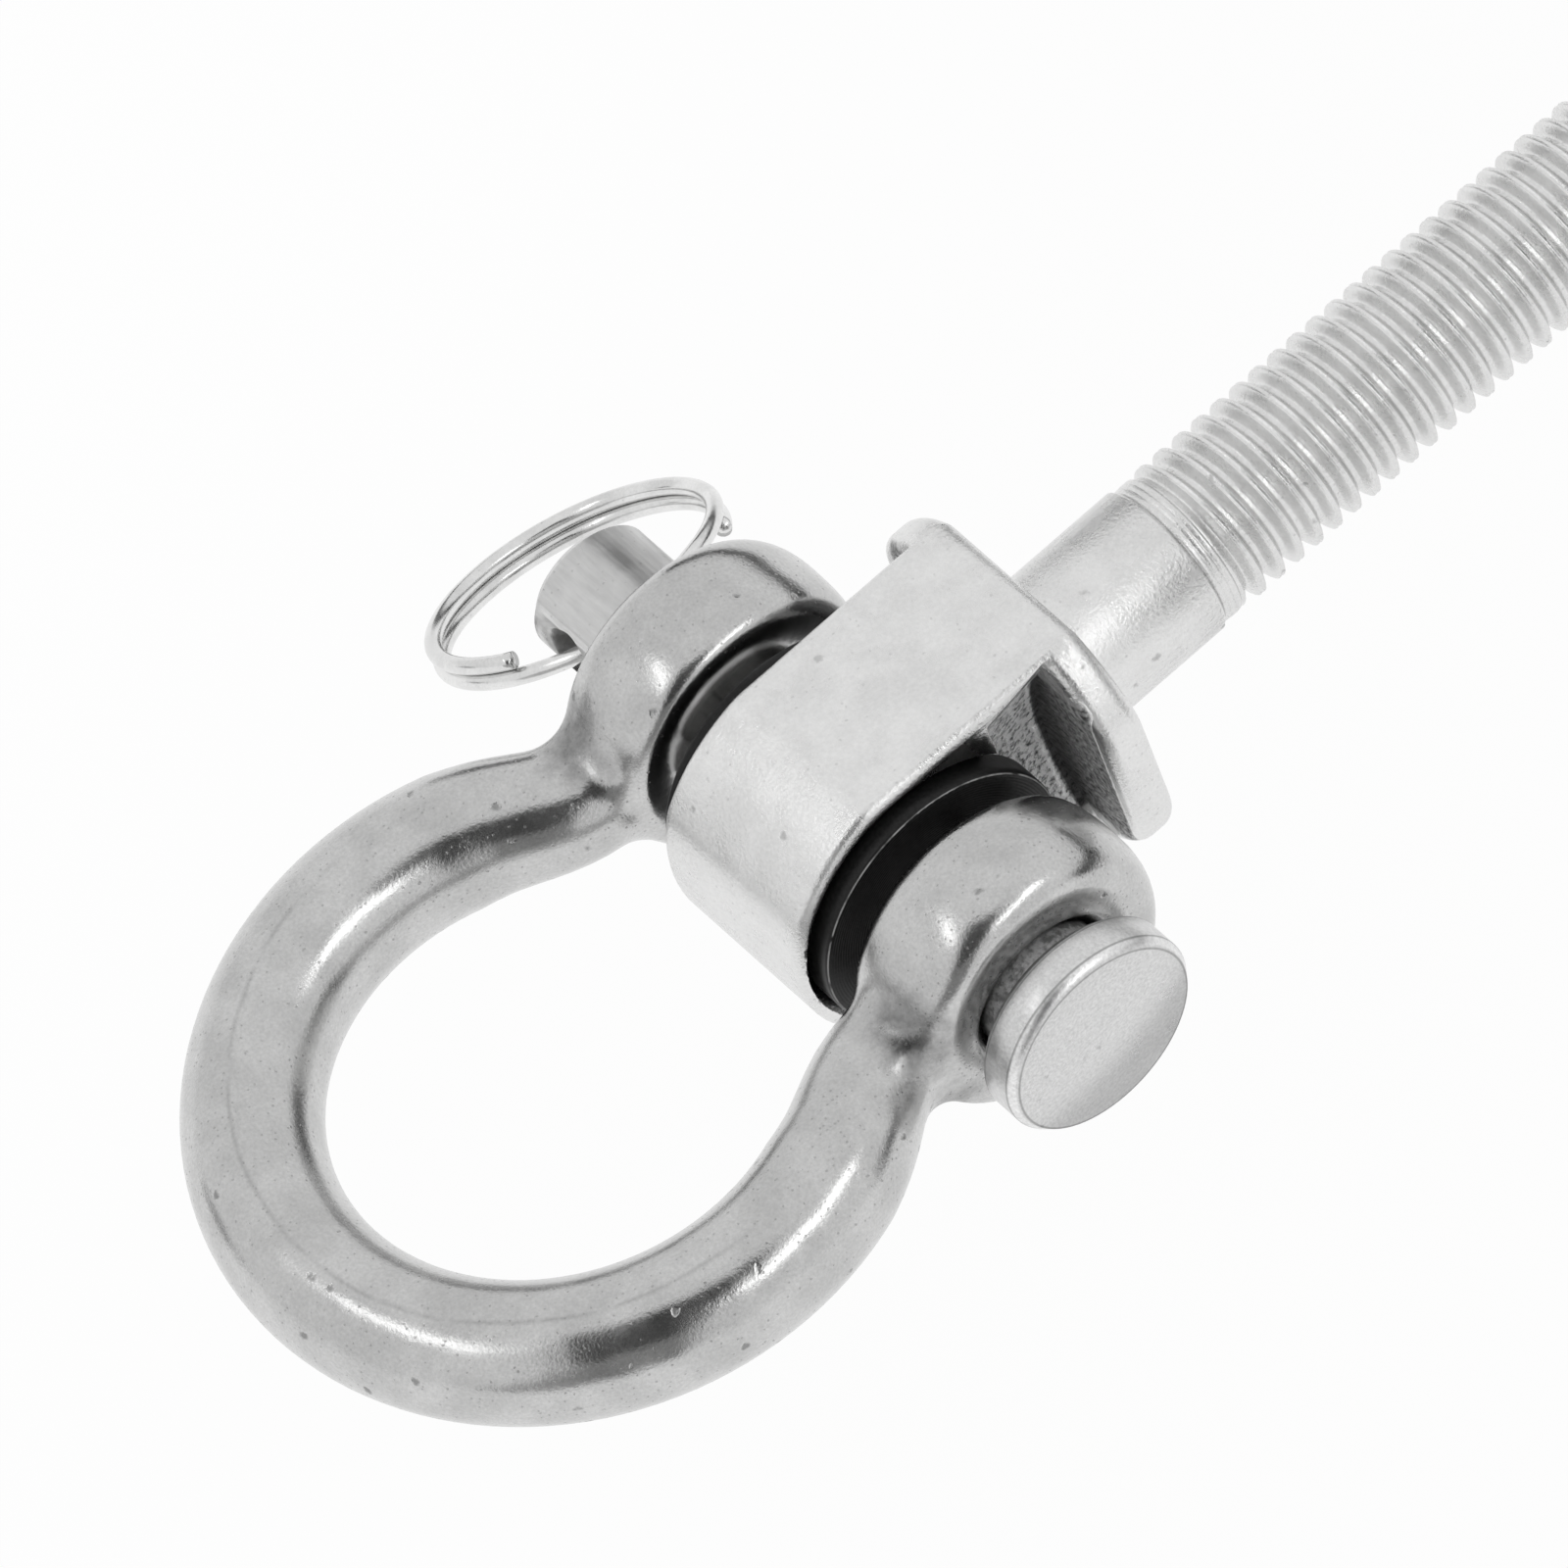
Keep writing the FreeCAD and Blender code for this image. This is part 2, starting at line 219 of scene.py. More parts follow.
def satinMetal(name, look, mask=None):
    material, tree, output = newMaterial(name)
    point = objectPoint(tree)
    patches = noise(tree, point, 1 / look["patchSize"], 3.0, 0.55)
    grain = noise(tree, point, 1 / look["grainSize"], 4.0, 0.6, look.get("grainStretch"))
    wave = noise(tree, point, 1 / look["waveSize"], 1.0, 0.4)
    pits = pitField(tree, point, look["pitSpacing"], 0.26, look["pitShare"])
    specks = pitField(tree, point, look["speckSpacing"], 0.34, look["speckShare"])
    dents = mathNode(tree, "MULTIPLY_ADD", specks, 0.12, pits)
    pits = mathNode(tree, "MAXIMUM", pits, times(tree, specks, 0.6))

    tone = remap(tree, patches, 0.32, 0.68, smooth=True)
    color = mixColor(tree, tone, grey(look["dark"]), grey(look["light"]))
    fleck = remap(tree, grain, 0.3, 0.7, 1.0 - look["fleck"], 1.0 + look["fleck"])
    color = mixColor(tree, 1.0, color, greyNode(tree, fleck), "MULTIPLY")
    color = mixColor(tree, times(tree, pits, look["pitTone"]), color, grey(0.16))
    rough = remap(tree, patches, 0.3, 0.7, look["smooth"], look["rough"])
    rough = mathNode(tree, "MULTIPLY_ADD", pits, 0.25, rough)
    height = times(tree, grain, look["grainDepth"])
    height = mathNode(tree, "MULTIPLY_ADD", wave, look["waveDepth"], height)
    height = mathNode(tree, "MULTIPLY_ADD", dents, -look["pitDepth"], height)
    metallic = 1.0

    if mask:
        # a second finish in places: lumpier, with painted shade and light on the lumps, and lighter
        # or darker as each mask paints it
        spot, shade, matte = mask(tree, point)
        lumps = noise(tree, point, 1 / look["lumpSize"], 5.0, 0.65)
        height = mathNode(tree, "MULTIPLY_ADD", times(tree, lumps, spot), look["lumpDepth"], height)
        rough = mathNode(tree, "MULTIPLY_ADD", spot, look["spotRough"], rough)
        # painted shade and light on the lumps, in place of the uneven reflections in them
        paintedLumpShade = remap(tree, lumps, 0.36, 0.64, look["lumpDark"], look["lumpLight"])
        shade = times(tree, paintedLumpShade, shade, look["spotTone"])
        color = mixColor(tree, times(tree, spot, look["spotShare"]), color, greyNode(tree, shade))
        metallic = mathNode(tree, "SUBTRACT", 1.0, matte)

    shader = addNode(tree, "ShaderNodeBsdfPrincipled", {
        "Base Color": color, "Roughness": rough, "Normal": bumpNode(tree, height),
        "Metallic": metallic})
    tree.links.new(shader.outputs[0], output.inputs[0])
    return material


# Each mask gives 1 where a second finish lies, how light it is there, mostly as painted shade and
# painted light, and how matte.
# Pairs are where a fade starts and where it ends.

pocketPlace = {
    "web": (2.0 * mm, 2.2 * mm), "foot": (-9.6 * mm, -9.0 * mm), "top": (-2.8 * mm, -3.05 * mm),
    "reachHeights": (-3.8 * mm, -3.4 * mm), "reaches": (7.15 * mm, 10.6 * mm), "rim": 0.3 * mm,
    "mouth": (10.6 * mm, 9.3 * mm), "ragged": 2.6 * mm, "raggedScale": 700,
    "corner": (-4.3 * mm, -3.9 * mm), "wallShade": 1.15,
    "ceiling": (5.2 * mm, 9.0 * mm), "ceilingShades": (0.07, 0.46),
    "ridge": -4.35 * mm, "ridgeFade": (0.3 * mm, 0.05 * mm), "matte": 0.45,
}


def pocketShadeMask(tree, point):
    # the rough cast walls of the pockets under the flange and the flange's underside beside them,
    # with painted shade and painted light
    place = pocketPlace
    axes = splitAxes(tree, point)
    side = mathNode(tree, "ABSOLUTE", axes[0])
    depth = mathNode(tree, "ABSOLUTE", axes[1])
    height = axes[2]
    reach = remap(tree, height, *place["reachHeights"], *place["reaches"])
    inside = mathNode(
        tree, "MULTIPLY", mathNode(tree, "SUBTRACT", reach, side), 1 / place["rim"], clamp=True)
    stray = noise(tree, point, place["raggedScale"], 4.0, 0.6)
    depth = mathNode(tree, "MULTIPLY_ADD", stray, place["ragged"], depth)
    spot = times(
        tree, inside, remap(tree, side, *place["web"]), remap(tree, height, *place["foot"]),
        remap(tree, height, *place["top"]), remap(tree, depth, *place["mouth"]))

    # painted shade on the ceiling, darkest beside the web, the wall painted a little lighter, and a
    # painted highlight along the corner between them
    ceiling = remap(tree, side, *place["ceiling"], *place["ceilingShades"])
    drop = mathNode(tree, "SUBTRACT", ceiling, place["wallShade"])
    corner = remap(tree, height, *place["corner"])
    shade = mathNode(tree, "MULTIPLY_ADD", corner, drop, place["wallShade"])
    ridge = remap(tree, gapTo(tree, height, place["ridge"]), *place["ridgeFade"])
    return spot, mathNode(tree, "ADD", shade, ridge), times(tree, spot, place["matte"])


forgedPlace = {
    "bowX": -0.35 * mm, "bowZ": -43.99 * mm,
    "partingRadius": 21.95 * mm, "partingWidth": (0.26 * mm, 0.02 * mm), "partingStrength": 0.34,
    "partingStray": 0.5 * mm, "partingFront": -4 * mm, "partingHeights": (1.0 * mm, -3.0 * mm),
    "crook": (17.2 * mm, 3.6 * mm, 26.4 * mm), "crookFade": (6.4 * mm, 3.2 * mm),
    "crookRagged": 4.0 * mm, "crookStrength": 0.95,
    "holeFrom": 18.8 * mm, "holeFade": (6.5 * mm, 6.3 * mm), "holeStrength": 0.62,
    "holeLine": 5.75 * mm, "holeLineFade": (0.10 * mm, 0.18 * mm),
}


def forgedMask(tree, point):
    # the faint, broken parting line that the forging dies left on the bow's broad side
    place = forgedPlace
    axes, radius = sheetPolar(tree, point, place["bowX"], place["bowZ"])
    stray = noise(tree, point, 120, 2.0)
    radius = mathNode(tree, "MULTIPLY_ADD", stray, place["partingStray"], radius)
    line = remap(
        tree, gapTo(tree, radius, place["partingRadius"]), *place["partingWidth"],
        0, place["partingStrength"])
    parting = times(
        tree, line, mathNode(tree, "LESS_THAN", axes[1], place["partingFront"]),
        remap(tree, axes[2], *place["partingHeights"]),
        remap(tree, noise(tree, point, 260, 3.0), 0.36, 0.52))    # gaps

    # painted shade in the crooks where the arms turn into the ears, in place of the dark reflected
    # there
    mirrored = vectorNode(tree, "ABSOLUTE", point)
    away = vectorNode(tree, "DISTANCE", mirrored, place["crook"])
    stray = noise(tree, point, 420, 4.0, 0.6)
    away = mathNode(tree, "MULTIPLY_ADD", stray, place["crookRagged"], away)
    crook = remap(tree, away, *place["crookFade"], 0, place["crookStrength"], smooth=True)

    # painted shade on the drilled holes' chamfers, broken by an unshaded bright line halfway down
    bore = pinRadius(tree, point)
    chamfer = times(
        tree, remap(tree, bore, *place["holeFade"], 0, place["holeStrength"]),
        mathNode(tree, "GREATER_THAN", splitAxes(tree, mirrored)[0], place["holeFrom"]),
        remap(tree, gapTo(tree, bore, place["holeLine"]), *place["holeLineFade"]))
    spot = mathNode(tree, "MAXIMUM", mathNode(tree, "MAXIMUM", parting, crook), chamfer)
    return spot, 1.0, 0.0


headPlace = {
    "front": 25.25 * mm, "back": 21.55 * mm, "faceRadius": 7.29 * mm, "faceLine": 0.11 * mm,
    "chamferRadii": (7.42 * mm, 7.5 * mm), "chamferDepths": (0.66 * mm, 0.6 * mm),
    "rimInset": 0.74 * mm, "rimLine": 0.1 * mm, "lineShade": -0.6, "chamferShade": 0.28,
    "necks": (2.9 * mm, 2.5 * mm), "collar": (0.06 * mm, -0.04 * mm),
    "blotchScale": 1500, "blotchShades": (-0.6, 0.5), "collarMatte": 0.75,
}


def headMask(tree, point):
    # the pin's head and the collar behind it
    place = headPlace
    front, back = place["front"], place["back"]
    along = splitAxes(tree, point)[0]
    radius = pinRadius(tree, point)
    spot = remap(tree, along, *(back - depth for depth in place["necks"]))

    def line(value, at, width):
        return remap(tree, gapTo(tree, value, at), width, width * 0.4)

    # turned edges in painted light: a painted dark line round the face, a painted highlight on the
    # chamfer, painted dark lines at the rim's ends
    onFace = mathNode(tree, "GREATER_THAN", along, front - 0.05 * mm)
    faceLine = times(tree, line(radius, place["faceRadius"], place["faceLine"]), onFace)
    chamfer = times(
        tree, remap(tree, radius, *place["chamferRadii"]),
        remap(tree, along, *(front - depth for depth in place["chamferDepths"])))
    rimLine = mathNode(
        tree, "MAXIMUM", line(along, front - place["rimInset"], place["rimLine"]),
        line(along, back + place["rimInset"], place["rimLine"]))
    lines = mathNode(tree, "MAXIMUM", faceLine, rimLine)
    shade = mathNode(tree, "MULTIPLY_ADD", chamfer, place["chamferShade"], 1.0)
    shade = mathNode(tree, "MULTIPLY_ADD", lines, place["lineShade"], shade)

    # the collar stays rough and mottled
    collar = times(tree, remap(tree, along, *(back + depth for depth in place["collar"])), spot)
    blotch = noise(tree, point, place["blotchScale"], 4.0, 0.65)
    blotch = remap(tree, blotch, 0.42, 0.58, *place["blotchShades"])
    shade = mathNode(tree, "MULTIPLY_ADD", collar, blotch, shade)
    return spot, shade, times(tree, collar, place["collarMatte"])


castLook = {
    "dark": 0.75, "light": 0.82, "patchSize": 3.2 * mm, "smooth": 0.22, "rough": 0.34,
    "grainSize": 0.28 * mm, "grainDepth": 0.06 * mm, "fleck": 0.05,
    "pitSpacing": 1.5 * mm, "pitShare": 0.05, "pitTone": 0.3, "pitDepth": 0.03 * mm,
    "speckSpacing": 0.42 * mm, "speckShare": 0.08, "waveSize": 3.4 * mm, "waveDepth": 0.08 * mm,
    # lumpDark and lumpLight set the painted shade and light on the pockets' lumps
    "lumpSize": 0.46 * mm, "lumpDepth": 0.5 * mm, "lumpDark": 0.1, "lumpLight": 1.8,
    "spotRough": 0.1, "spotShare": 1.0, "spotTone": 0.78,
}
forgedLook = {
    "dark": 0.52, "light": 0.61, "patchSize": 4.0 * mm, "smooth": 0.14, "rough": 0.24,
    "grainSize": 0.24 * mm, "grainDepth": 0.014 * mm, "fleck": 0.10,
    "pitSpacing": 1.7 * mm, "pitShare": 0.09, "pitTone": 0.6, "pitDepth": 0.05 * mm,
    "speckSpacing": 0.38 * mm, "speckShare": 0.26, "waveSize": 3.6 * mm, "waveDepth": 0.075 * mm,
    "lumpSize": 0.5 * mm, "lumpDepth": 0.02 * mm, "lumpDark": 0.6, "lumpLight": 1.5,
    # spotTone is the dark of the parting line and of the painted shade in the crooks and hole
    # chamfers
    "spotRough": 0.08, "spotShare": 0.72, "spotTone": 0.12,
}
turnedLook = {
    "dark": 0.62, "light": 0.72, "patchSize": 2.6 * mm, "smooth": 0.26, "rough": 0.38,
    "grainSize": 0.42 * mm, "grainDepth": 0.014 * mm, "fleck": 0.08, "grainStretch": (0.16, 1, 1),
    "pitSpacing": 1.1 * mm, "pitShare": 0.08, "pitTone": 0.3, "pitDepth": 0.02 * mm,
    "speckSpacing": 0.36 * mm, "speckShare": 0.10, "waveSize": 3.0 * mm, "waveDepth": 0.02 * mm,
    "lumpSize": 0.26 * mm, "lumpDepth": 0.022 * mm, "lumpDark": 0.82, "lumpLight": 1.14,
    "spotRough": 0.0, "spotShare": 0.7, "spotTone": 0.72,
}
threadLook = {
    "dark": 0.76, "light": 0.84, "patchSize": 2.2 * mm, "smooth": 0.18, "rough": 0.30,
    "grainSize": 0.24 * mm, "grainDepth": 0.02 * mm, "fleck": 0.05,
    "pitSpacing": 1.4 * mm, "pitShare": 0.05, "pitTone": 0.3, "pitDepth": 0.02 * mm,
    "speckSpacing": 0.34 * mm, "speckShare": 0.10, "waveSize": 2.0 * mm, "waveDepth": 0.03 * mm,
}
wireLook = {
    "dark": 0.70, "light": 0.82, "patchSize": 3.0 * mm, "smooth": 0.16, "rough": 0.24,
    "grainSize": 0.2 * mm, "grainDepth": 0.004 * mm, "fleck": 0.05,
    "pitSpacing": 1.5 * mm, "pitShare": 0.04, "pitTone": 0.3, "pitDepth": 0.01 * mm,
    "speckSpacing": 0.4 * mm, "speckShare": 0.05, "waveSize": 1.6 * mm, "waveDepth": 0.01 * mm,
}
castSteel = satinMetal("castSteel", castLook, pocketShadeMask)
forgedSteel = satinMetal("forgedSteel", forgedLook, forgedMask)
turnedSteel = satinMetal("turnedSteel", turnedLook, headMask)
threadSteel = satinMetal("threadSteel", threadLook)
springWire = satinMetal("springWire", wireLook)


# Black plastic with fine turning rings round the pin's line

plasticLook = {
    "dark": 0.006, "light": 0.018, "smooth": 0.30, "rough": 0.44, "sheen": 0.22,
    "ringPitch": 0.22 * mm, "ringDepth": 0.006 * mm,
    "grainSize": 0.25 * mm, "grainDepth": 0.006 * mm,
    "rimFrom": 8.35 * mm, "rimRadius": 9.98 * mm, "rimTone": 0.34,
    "rimFade": (0.06 * mm, 0.02 * mm),
}


def turnedPlastic(name, look):
    material, tree, output = newMaterial(name)
    point = objectPoint(tree)
    radius = pinRadius(tree, point)
    rings = mathNode(tree, "SINE", times(tree, radius, 2 * math.pi / look["ringPitch"]))
    dust = noise(tree, point, 1 / look["grainSize"], 4.0, 0.6)
    patches = noise(tree, point, 300, 2.0)
    color = mixColor(tree, remap(tree, dust, 0.35, 0.75), grey(look["dark"]), grey(look["light"]))
    # a painted highlight on the rim on the head's side: a thin, broken, paler line
    paintedRimHighlight = times(
        tree, remap(tree, gapTo(tree, radius, look["rimRadius"]), *look["rimFade"]),
        mathNode(tree, "GREATER_THAN", splitAxes(tree, point)[0], look["rimFrom"]),
        remap(tree, noise(tree, point, 900, 4.0), 0.32, 0.55))
    color = mixColor(tree, paintedRimHighlight, color, grey(look["rimTone"]))
    rough = remap(tree, patches, 0.3, 0.7, look["smooth"], look["rough"])
    height = times(tree, rings, look["ringDepth"])
    height = mathNode(tree, "MULTIPLY_ADD", dust, look["grainDepth"], height)
    shader = addNode(tree, "ShaderNodeBsdfPrincipled", {
        "Base Color": color, "Roughness": rough, "Normal": bumpNode(tree, height),
        "Specular IOR Level": look["sheen"]})
    tree.links.new(shader.outputs[0], output.inputs[0])
    return material


blackPlastic = turnedPlastic("blackPlastic", plasticLook)
print("materials made")


# Smooth copies of the solids

def mergedCopy(node, name, sharpDegrees):
    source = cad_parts[node]
    mesh = source.data.copy()
    mesh.name = name
    mesh.transform(source.matrix_world)
    mesh.materials.clear()
    work = bmesh.new()
    work.from_mesh(mesh)
    bmesh.ops.remove_doubles(work, verts=work.verts, dist=0.0005 * mm)
    bmesh.ops.dissolve_degenerate(work, edges=work.edges, dist=0.0005 * mm)
    work.to_mesh(mesh)
    work.free()
    mesh.shade_smooth()
    mesh.set_sharp_from_angle(angle=math.radians(sharpDegrees))
    piece = bpy.data.objects.new(name, mesh)
    scene.collection.objects.link(piece)
    return piece


def finishPiece(piece, node, body, slotName, *materials):
    for material in materials:
        piece.data.materials.append(material)
    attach(piece, body)
    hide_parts(node)


# Rolled thread, made as rows of points that follow the helix

threadSize = {
    "Pitch": 1.75 * mm,
    "Crest Radius": 5.95 * mm,
    "Depth": 0.94 * mm,
    "Blank Radius": 5.62 * mm,
    "Start": 12.5 * mm,
    "End": 100.0 * mm,
    "Fade": 1.1 * mm,
    "End Chamfer": 1.3 * mm,
    "Rows Per Turn": 28,
    "Points Around": 54,
}
# level between root 0 and lip 1, from the furrow in the crest's middle down to the root's middle
threadProfile = [
    (0.0, 0.92), (0.10, 0.94), (0.18, 1.0), (0.26, 0.93), (0.70, 0.09), (0.84, 0.0), (1.0, 0.0)]

# run-out between neck and thread, with two fine turned grooves
runOut = {
    "from": 11.05 * mm,
    "steps": 112,
    "profile": [    # height and radius in mm
        (10.95, 0), (10.95, 5.58), (11.2, 5.72), (11.44, 5.75), (11.52, 5.68), (11.60, 5.68),
        (11.70, 5.77), (11.92, 5.77), (12.00, 5.68), (12.08, 5.68), (12.18, 5.77),
        (12.42, 5.74), (12.58, 5.6), (12.58, 0)],
}


def threadTree(material):
    tree = bpy.data.node_groups.new("rolledThread", "GeometryNodeTree")
    for name, value in threadSize.items():
        kind = "NodeSocketInt" if isinstance(value, int) else "NodeSocketFloat"
        tree.interface.new_socket(name, in_out="INPUT", socket_type=kind)
    tree.interface.new_socket("Geometry", in_out="OUTPUT", socket_type="NodeSocketGeometry")
    size = tree.nodes.new("NodeGroupInput").outputs
    result = tree.nodes.new("NodeGroupOutput")

    def calc(operation, first, second=0.0, third=0.0, clamp=False):
        return mathNode(tree, operation, first, second, third, clamp)

    span = calc("SUBTRACT", size["End"], size["Start"])
    turns = calc("ADD", calc("CEIL", calc("DIVIDE", span, size["Pitch"])), 3.0)
    rows = calc("ADD", calc("MULTIPLY", turns, size["Rows Per Turn"]), 1.0)
    columns = calc("ADD", size["Points Around"], 1.0)
    grid = addNode(tree, "GeometryNodeMeshGrid", {
        "Size X": 1.0, "Size Y": 1.0, "Vertices X": rows, "Vertices Y": columns})
    place = splitAxes(tree, addNode(tree, "GeometryNodeInputPosition").outputs[0])
    around = calc("ADD", place[1], 0.5)
    along = calc("MULTIPLY", calc("ADD", place[0], 0.5), turns)
    rise = calc("MULTIPLY", calc("SUBTRACT", calc("ADD", along, around), 2.0), size["Pitch"])
    height = calc("ADD", rise, size["Start"])

    # phase: 0 in the middle of the crest, 1 in the middle of the root
    turned = calc("SUBTRACT", calc("FRACT", calc("ADD", along, 0.5)), 0.5)
    phase = calc("MULTIPLY", calc("ABSOLUTE", turned), 2.0)
    curve = addNode(tree, "ShaderNodeFloatCurve", {"Value": phase})
    points = curve.mapping.curves[0].points
    for index, (share, level) in enumerate(threadProfile):
        if index < 2:
            points[index].location = (share, level)
        else:
            points.new(share, level)
    curve.mapping.update()
    sunk = calc("MULTIPLY", calc("SUBTRACT", 1.0, curve.outputs[0]), size["Depth"])
    full = calc("SUBTRACT", size["Crest Radius"], sunk)
    fadeEnd = calc("ADD", size["Start"], size["Fade"])
    fade = remap(tree, height, size["Start"], fadeEnd, smooth=True)
    raised = calc("MULTIPLY", calc("SUBTRACT", full, size["Blank Radius"]), fade)
    radius = calc("ADD", size["Blank Radius"], raised)
    toEnd = calc("MAXIMUM", calc("SUBTRACT", size["End"], height), 0.0)
    cone = calc("ADD", calc("SUBTRACT", size["Crest Radius"], size["End Chamfer"]), toEnd)
    radius = calc("MINIMUM", radius, cone)

    # past either end the rows close in on the axis and make a flat face
    before = calc("SUBTRACT", size["Start"], height)
    beyond = calc("SUBTRACT", height, size["End"])
    excess = calc("MAXIMUM", calc("MAXIMUM", before, beyond), 0.0)
    closing = calc("SUBTRACT", 1.0, calc("DIVIDE", excess, size["Pitch"]), clamp=True)
    radius = calc("MULTIPLY", radius, closing)
    height = calc("MINIMUM", calc("MAXIMUM", height, size["Start"]), size["End"])
    angle = calc("MULTIPLY", around, 2 * math.pi)
    target = addNode(tree, "ShaderNodeCombineXYZ", {
        0: calc("MULTIPLY", radius, calc("COSINE", angle)),
        1: calc("MULTIPLY", radius, calc("SINE", angle)),
        2: height})
    shaped = addNode(tree, "GeometryNodeSetPosition", {
        "Geometry": grid.outputs["Mesh"], "Position": target.outputs[0]})
    merged = addNode(tree, "GeometryNodeMergeByDistance", {
        "Geometry": shaped.outputs[0], "Distance": 0.002 * mm})
    real = addNode(tree, "GeometryNodeRealizeInstances", {"Geometry": merged.outputs[0]})
    dressed = addNode(tree, "GeometryNodeSetMaterial", {
        "Geometry": real.outputs[0], "Material": material})
    tree.links.new(dressed.outputs[0], result.inputs["Geometry"])
    return tree


def nodesToMesh(tree, sizes, name):
    holder = bpy.data.objects.new(name + "Source", bpy.data.meshes.new(name + "Source"))
    scene.collection.objects.link(holder)
    modifier = holder.modifiers.new("nodes", "NODES")
    modifier.node_group = tree
    for item in tree.interface.items_tree:
        if item.in_out == "INPUT" and item.name in sizes:
            modifier[item.identifier] = sizes[item.name]
    graph = bpy.context.evaluated_depsgraph_get()
    mesh = bpy.data.meshes.new_from_object(holder.evaluated_get(graph))
    mesh.name = name
    bpy.data.objects.remove(holder)
    return mesh


def addTurned(work, profile, steps):
    # adds a closed solid turned about Z to a mesh that is being built
    rings = []
    for height, radius in profile:
        if radius == 0:
            rings.append([work.verts.new((0, 0, height * mm))])
            continue
        ring = []
        for step in range(steps):
            angle = 2 * math.pi * step / steps
            ring.append(work.verts.new((
                radius * mm * math.cos(angle), radius * mm * math.sin(angle), height * mm)))
        rings.append(ring)
    for lower, upper in zip(rings, rings[1:]):
        for step in range(steps):
            following = (step + 1) % steps
            corners = [lower[step % len(lower)], lower[following % len(lower)],
                       upper[following % len(upper)], upper[step % len(upper)]]
            work.faces.new(list(dict.fromkeys(corners)))


def makeHanger():
    # the solid's plain shank is cut off above the neck, and the run-out and thread take its place
    hanger = mergedCopy("hanger_body", "hanger", 32)
    work = bmesh.new()
    work.from_mesh(hanger.data)
    bmesh.ops.bisect_plane(
        work, geom=work.verts[:] + work.edges[:] + work.faces[:],
        plane_co=(0, 0, runOut["from"]), plane_no=(0, 0, 1), clear_outer=True)
    rim = [edge for edge in work.edges if edge.is_boundary]
    bmesh.ops.contextual_create(work, geom=rim)
    bmesh.ops.triangulate(work, faces=[face for face in work.faces if len(face.verts) > 4])
    addTurned(work, runOut["profile"], runOut["steps"])
    threadMesh = nodesToMesh(threadTree(threadSteel), threadSize, "thread")
    work.from_mesh(threadMesh)
    bmesh.ops.recalc_face_normals(work, faces=work.faces)
    for face in work.faces:
        face.material_index = 1 if face.calc_center_median().z > threadSize["Start"] else 0
        face.smooth = True
    work.to_mesh(hanger.data)
    work.free()
    hanger.data.materials.clear()
    hanger.data.set_sharp_from_angle(angle=math.radians(38))
    bpy.data.meshes.remove(threadMesh)
    return hanger


hanger = makeHanger()
finishPiece(hanger, "hanger_body", "hanger", "cast_stainless", castSteel, threadSteel)
print("hanger made:", len(hanger.data.polygons), "faces")

for node, name, body, slotName, material, sharp in (
        ("head_side_bush", "headSideBush", "hanger", "black_plastic", blackPlastic, 35),
        ("ring_side_bush", "ringSideBush", "hanger", "black_plastic", blackPlastic, 35),
        ("bow_shackle", "bowShackle", "shackle", "forged_stainless", forgedSteel, 40),
        ("shackle_pin", "shacklePin", "pin", "turned_stainless", turnedSteel, 32),
        ("split_ring", "splitRing", "ring", "spring_wire", springWire, 45)):
    piece = mergedCopy(node, name, sharp)
    finishPiece(piece, node, body, slotName, material)
    print(name, "made:", len(piece.data.polygons), "faces")


# Floor: the pale sheet behind the hanger, far enough back for the shackle to swing clear of it

skyCentre = Vector((0, 0, -44 * mm))    # the bow's middle, which the lights and cards stand round
floorSetup = {
    "y": 62 * mm, "half": 3.0, "tone": 0.9, "glow": 0.97,
    "shade": 0.04, "shadeReach": (0.59, 0.73),
    "shadeStart": (0.72, 0.86), "shadeEnd": (2.78, 2.68),     # radians, from +X towards +Z
}


def makeFloor(setup):
    material, tree, output = newMaterial("paleSheet")
    light = addNode(tree, "ShaderNodeLightPath")
    seen = mathNode(tree, "MAXIMUM", light.outputs["Is Camera Ray"], light.outputs["Is Glossy Ray"])
    seen = mathNode(tree, "MAXIMUM", seen, light.outputs["Is Transmission Ray"])
    point = objectPoint(tree)
    tone = remap(tree, noise(tree, point, 4.0, 2.0), 0.3, 0.7, 0.985, 1.0)
    color = mixColor(tree, tone, grey(0.0), (1, 1, 1, 1))
    paper = addNode(tree, "ShaderNodeBsdfDiffuse", {"Color": grey(setup["tone"])})
    # a dark patch painted on the sheet beyond the shank, seen only by glossy rays, shows in the
    # metal as a painted dark reflection
    axes, radius = sheetPolar(tree, point, skyCentre.x, skyCentre.z)
    turn = mathNode(tree, "ARCTAN2", axes[2], axes[0])
    shade = times(
        tree, remap(tree, radius, *setup["shadeReach"], smooth=True),
        remap(tree, turn, *setup["shadeStart"]), remap(tree, turn, *setup["shadeEnd"]),
        light.outputs["Is Glossy Ray"])
    color = mixColor(tree, shade, color, grey(setup["shade"]))
    glow = addNode(tree, "ShaderNodeEmission", {"Color": color, "Strength": 1.0})
    lit = mixShader(tree, setup["glow"], paper, glow)
    plain = mixShader(tree, seen, paper, lit)
    # from behind, the sheet can be looked through
    clear = addNode(tree, "ShaderNodeBsdfTransparent")
    behind = addNode(tree, "ShaderNodeNewGeometry").outputs["Backfacing"]
    both = mixShader(tree, behind, plain, clear)
    tree.links.new(both.outputs[0], output.inputs[0])
    half, y = setup["half"], setup["y"]
    mesh = bpy.data.meshes.new("floor")
    corners = [(-half, y, -half), (half, y, -half), (half, y, half), (-half, y, half)]
    mesh.from_pydata(corners, [], [(0, 1, 2, 3)])
    mesh.materials.append(material)
    floor = bpy.data.objects.new("floor", mesh)
    scene.collection.objects.link(floor)
    return floor


makeFloor(floorSetup)
